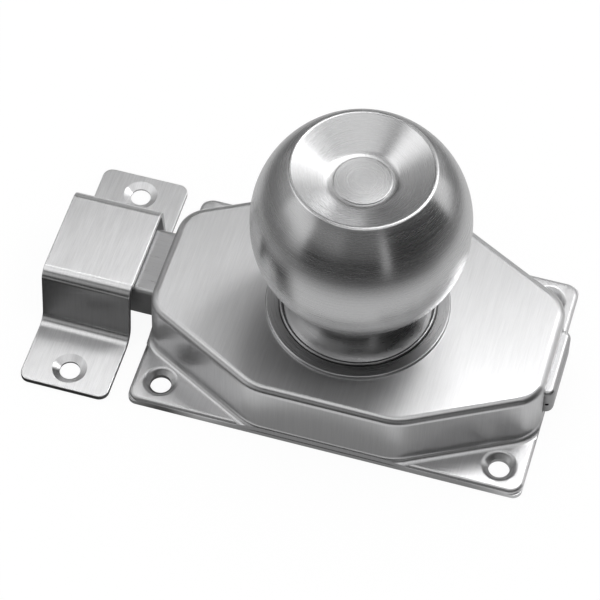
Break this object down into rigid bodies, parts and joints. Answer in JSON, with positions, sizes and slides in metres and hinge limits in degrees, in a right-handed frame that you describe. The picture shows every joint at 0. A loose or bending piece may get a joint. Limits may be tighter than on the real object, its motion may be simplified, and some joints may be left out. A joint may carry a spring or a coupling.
{
  "type": "gate bolt",
  "caption": "Surface-mounted steel gate bolt: eight-sided pressed case, turning ball knob on a rack drive, flat sliding bolt and a separate strap keeper.",
  "frame": {"origin": "in the mounting plane, on the knob's axis, at the centre of the case's four screw holes", "axes": "+Z out of the gate along the knob's axis; the bolt is thrown towards -X into the keeper and drawn back towards +X"},
  "size_m": [0.123, 0.0652, 0.0682],
  "materials": {
    "case_steel": "brushed",
    "plate_steel": "rolled",
    "bolt_steel": "satin",
    "knob_steel": "turned and polished",
    "collar_steel": "turned",
    "inner_steel": "machined",
    "spring_steel": "blued",
    "bush_bronze": "sintered",
    "slide_plastic": "matte"
  },
  "bodies": {
    "case": {"case_cover": "case_steel", "back_plate": "plate_steel", "cover_pillars": "inner_steel", "cover_screws": "inner_steel", "bolt_guide_left": "plate_steel", "bolt_guide_right": "plate_steel", "slide_pad_left": "slide_plastic", "slide_pad_right": "slide_plastic", "guide_rivets": "inner_steel", "detent_spring": "spring_steel", "detent_rivets": "inner_steel", "shaft_bush": "bush_bronze", "collar": "collar_steel", "collar_lock_ring": "inner_steel", "thrust_washer": "slide_plastic", "keeper": "case_steel"},
    "bolt": {"bolt_bar": "bolt_steel"},
    "knob": {"pinion_shaft": "inner_steel", "knob_hub": "inner_steel", "hub_pin": "inner_steel", "retaining_ring": "spring_steel", "knob_neck": "knob_steel", "knob_ball": "knob_steel"}
  },
  "joints": [
    {"name": "knob_turn", "type": "hinge", "parent": "case", "child": "knob", "pos_m": [0, 0, 0.0145], "axis": [0, 0, -1], "range_deg": [0, 180]},
    {"name": "bolt_slide", "type": "slide", "parent": "case", "child": "bolt", "axis": [1, 0, 0], "range_m": [0, 0.01728], "deforming": ["detent_spring"]}
  ],
  "couplings": [
    {"joint": "bolt_slide", "follows": "knob_turn", "m_per_rad": 0.0055}
  ]
}
